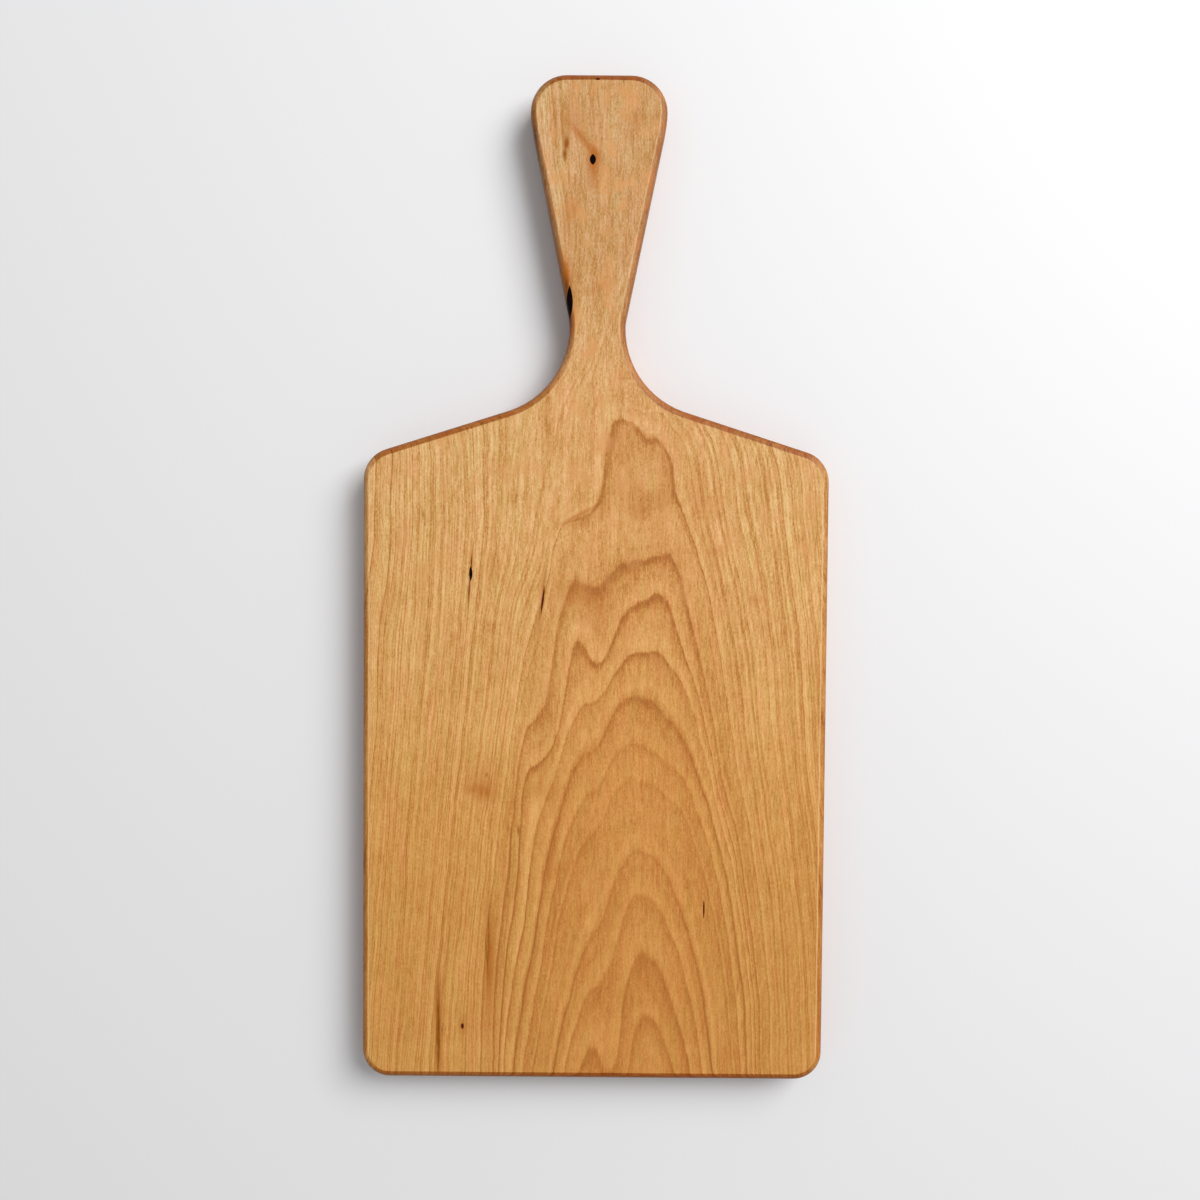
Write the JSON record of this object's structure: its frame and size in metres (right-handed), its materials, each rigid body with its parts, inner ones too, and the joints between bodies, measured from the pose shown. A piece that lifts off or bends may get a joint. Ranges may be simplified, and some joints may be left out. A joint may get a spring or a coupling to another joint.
{
  "type": "paddle charcuterie board",
  "caption": "Flat cherry serving board with square shoulders, a waisted neck and a flared paddle handle, for carrying and serving food.",
  "frame": {"origin": "middle of the board's bounding box, on its underside", "axes": "+Z out of the serving face, +Y from the foot to the end of the handle, +X to the right as the serving face is seen with the handle up"},
  "size_m": [0.2118, 0.4572, 0.019],
  "materials": {
    "cherry": "oiled, satin",
    "black_fill": "gloss",
    "dark_gum": "oiled, satin"
  },
  "bodies": {
    "root": {"cherry_plank": "cherry", "neck_edge_fill": "black_fill", "handle_knot_fill": "black_fill", "blade_check_fill": "black_fill", "handle_end_pin_knot": "dark_gum", "blade_pin_knot": "dark_gum", "left_gum_vein": "dark_gum", "right_gum_vein": "dark_gum"}
  },
  "joints": []
}
